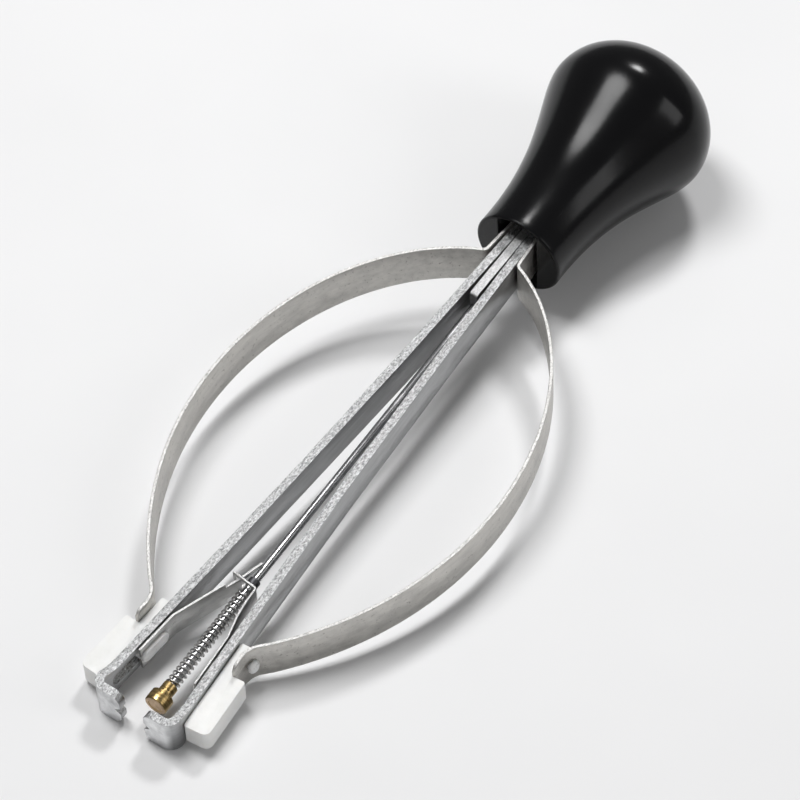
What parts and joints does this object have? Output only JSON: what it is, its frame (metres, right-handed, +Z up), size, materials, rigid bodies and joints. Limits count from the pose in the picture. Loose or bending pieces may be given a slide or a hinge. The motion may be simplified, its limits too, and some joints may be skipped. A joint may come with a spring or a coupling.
{
  "type": "watch hand remover",
  "caption": "Spring-bow tool that lifts the hands off a watch: hooked jaw arms, sliding feet and a sprung plunger in a bulb handle.",
  "frame": {"origin": "point on the tool's centre line in the plane of the jaw hooks' front faces, where the watch hand's hub sits", "axes": "+X from the jaws up the tool to the crown of the handle; +Y across the arms to the left arm; +Z up, square to the plane of the arms"},
  "size_m": [0.131, 0.0466, 0.0256],
  "materials": {
    "handle_plastic": "moulded, polished black with faint scuffs",
    "white_nylon": "moulded, smooth white",
    "grey_nylon": "moulded, slightly translucent",
    "arm_steel": "satin sides, burred bright edges",
    "bow_steel": "matt spring strip, finely pitted",
    "leaf_steel": "spring strip, satin",
    "wire_steel": "drawn wire",
    "bright_steel": "ground rod",
    "dark_steel": "darkened",
    "brass": "turned, flat end face"
  },
  "bodies": {
    "handle_body": {"handle": "handle_plastic", "spacer_bar": "dark_steel", "clamp_rivets": "bright_steel"},
    "left_jaw": {"left_jaw_arm": "arm_steel"},
    "left_bow": {"left_bow_spring": "bow_steel"},
    "left_foot": {"left_foot": "white_nylon", "left_slide_key": "grey_nylon", "left_foot_peg": "grey_nylon"},
    "left_leaf_body": {"left_leaf": "leaf_steel"},
    "right_jaw": {"right_jaw_arm": "arm_steel"},
    "right_bow": {"right_bow_spring": "bow_steel"},
    "right_foot": {"right_foot": "white_nylon", "right_slide_key": "grey_nylon", "right_foot_peg": "grey_nylon"},
    "right_leaf_body": {"right_leaf": "leaf_steel"},
    "spring_body": {"plunger_spring": "wire_steel"},
    "plunger": {"plunger_rod": "bright_steel", "plunger_tip": "brass", "plunger_collar": "dark_steel"}
  },
  "joints": [
    {"name": "left_arm_flex", "type": "hinge", "parent": "handle_body", "child": "left_jaw", "pos_m": [0.0961, 0.00136, 0], "axis": [0, 0, 1], "range_deg": [0, 0.632]},
    {"name": "left_bow_squeeze", "type": "slide", "parent": "left_jaw", "child": "left_bow", "axis": [-0.6702, -0.7421, 0], "range_m": [0, 0.00406], "stiffness_N_per_m": 1500, "deforming": ["left_bow_spring"]},
    {"name": "left_foot_slide", "type": "slide", "parent": "left_bow", "child": "left_foot", "axis": [-0.5579, 0.8299, 0], "range_m": [0, 0.00406]},
    {"name": "left_leaf_flex", "type": "hinge", "parent": "left_foot", "child": "left_leaf_body", "pos_m": [0.0151, 0.00411, 0], "axis": [0, 0, 1], "range_deg": [0, 2.68], "deforming": ["left_leaf"]},
    {"name": "right_arm_flex", "type": "hinge", "parent": "handle_body", "child": "right_jaw", "pos_m": [0.0961, -0.00136, 0], "axis": [0, 0, 1], "range_deg": [-0.632, 0]},
    {"name": "right_bow_squeeze", "type": "slide", "parent": "right_jaw", "child": "right_bow", "axis": [-0.6702, 0.7421, 0], "range_m": [0, 0.00406], "deforming": ["right_bow_spring"]},
    {"name": "right_foot_slide", "type": "slide", "parent": "right_bow", "child": "right_foot", "axis": [-0.5579, -0.8299, 0], "range_m": [0, 0.00406]},
    {"name": "right_leaf_flex", "type": "hinge", "parent": "right_foot", "child": "right_leaf_body", "pos_m": [0.0161, -0.00404, 0], "axis": [0, 0, 1], "range_deg": [-3.18, 0], "deforming": ["right_leaf"]},
    {"name": "spring_follow", "type": "slide", "parent": "handle_body", "child": "spring_body", "axis": [-0.9999, -0.0157, 0], "range_m": [0, 0.00186], "deforming": ["plunger_spring"]},
    {"name": "plunger_push", "type": "slide", "parent": "spring_body", "child": "plunger", "axis": [0.9999, 0.0157, 0], "range_m": [0, 0.0035], "stiffness_N_per_m": 300, "springref_m": -0.002}
  ],
  "couplings": [
    {"joint": "left_arm_flex", "follows": "left_bow_squeeze", "rad_per_m": 2.706},
    {"joint": "left_foot_slide", "follows": "left_bow_squeeze", "ratio": 1},
    {"joint": "left_leaf_flex", "follows": "left_bow_squeeze", "rad_per_m": 11.475},
    {"joint": "right_arm_flex", "follows": "left_bow_squeeze", "rad_per_m": -2.706},
    {"joint": "right_foot_slide", "follows": "left_bow_squeeze", "ratio": 1},
    {"joint": "right_leaf_flex", "follows": "left_bow_squeeze", "rad_per_m": -13.624},
    {"joint": "right_bow_squeeze", "follows": "left_bow_squeeze", "ratio": 1},
    {"joint": "spring_follow", "follows": "left_bow_squeeze", "ratio": 0.45555}
  ]
}
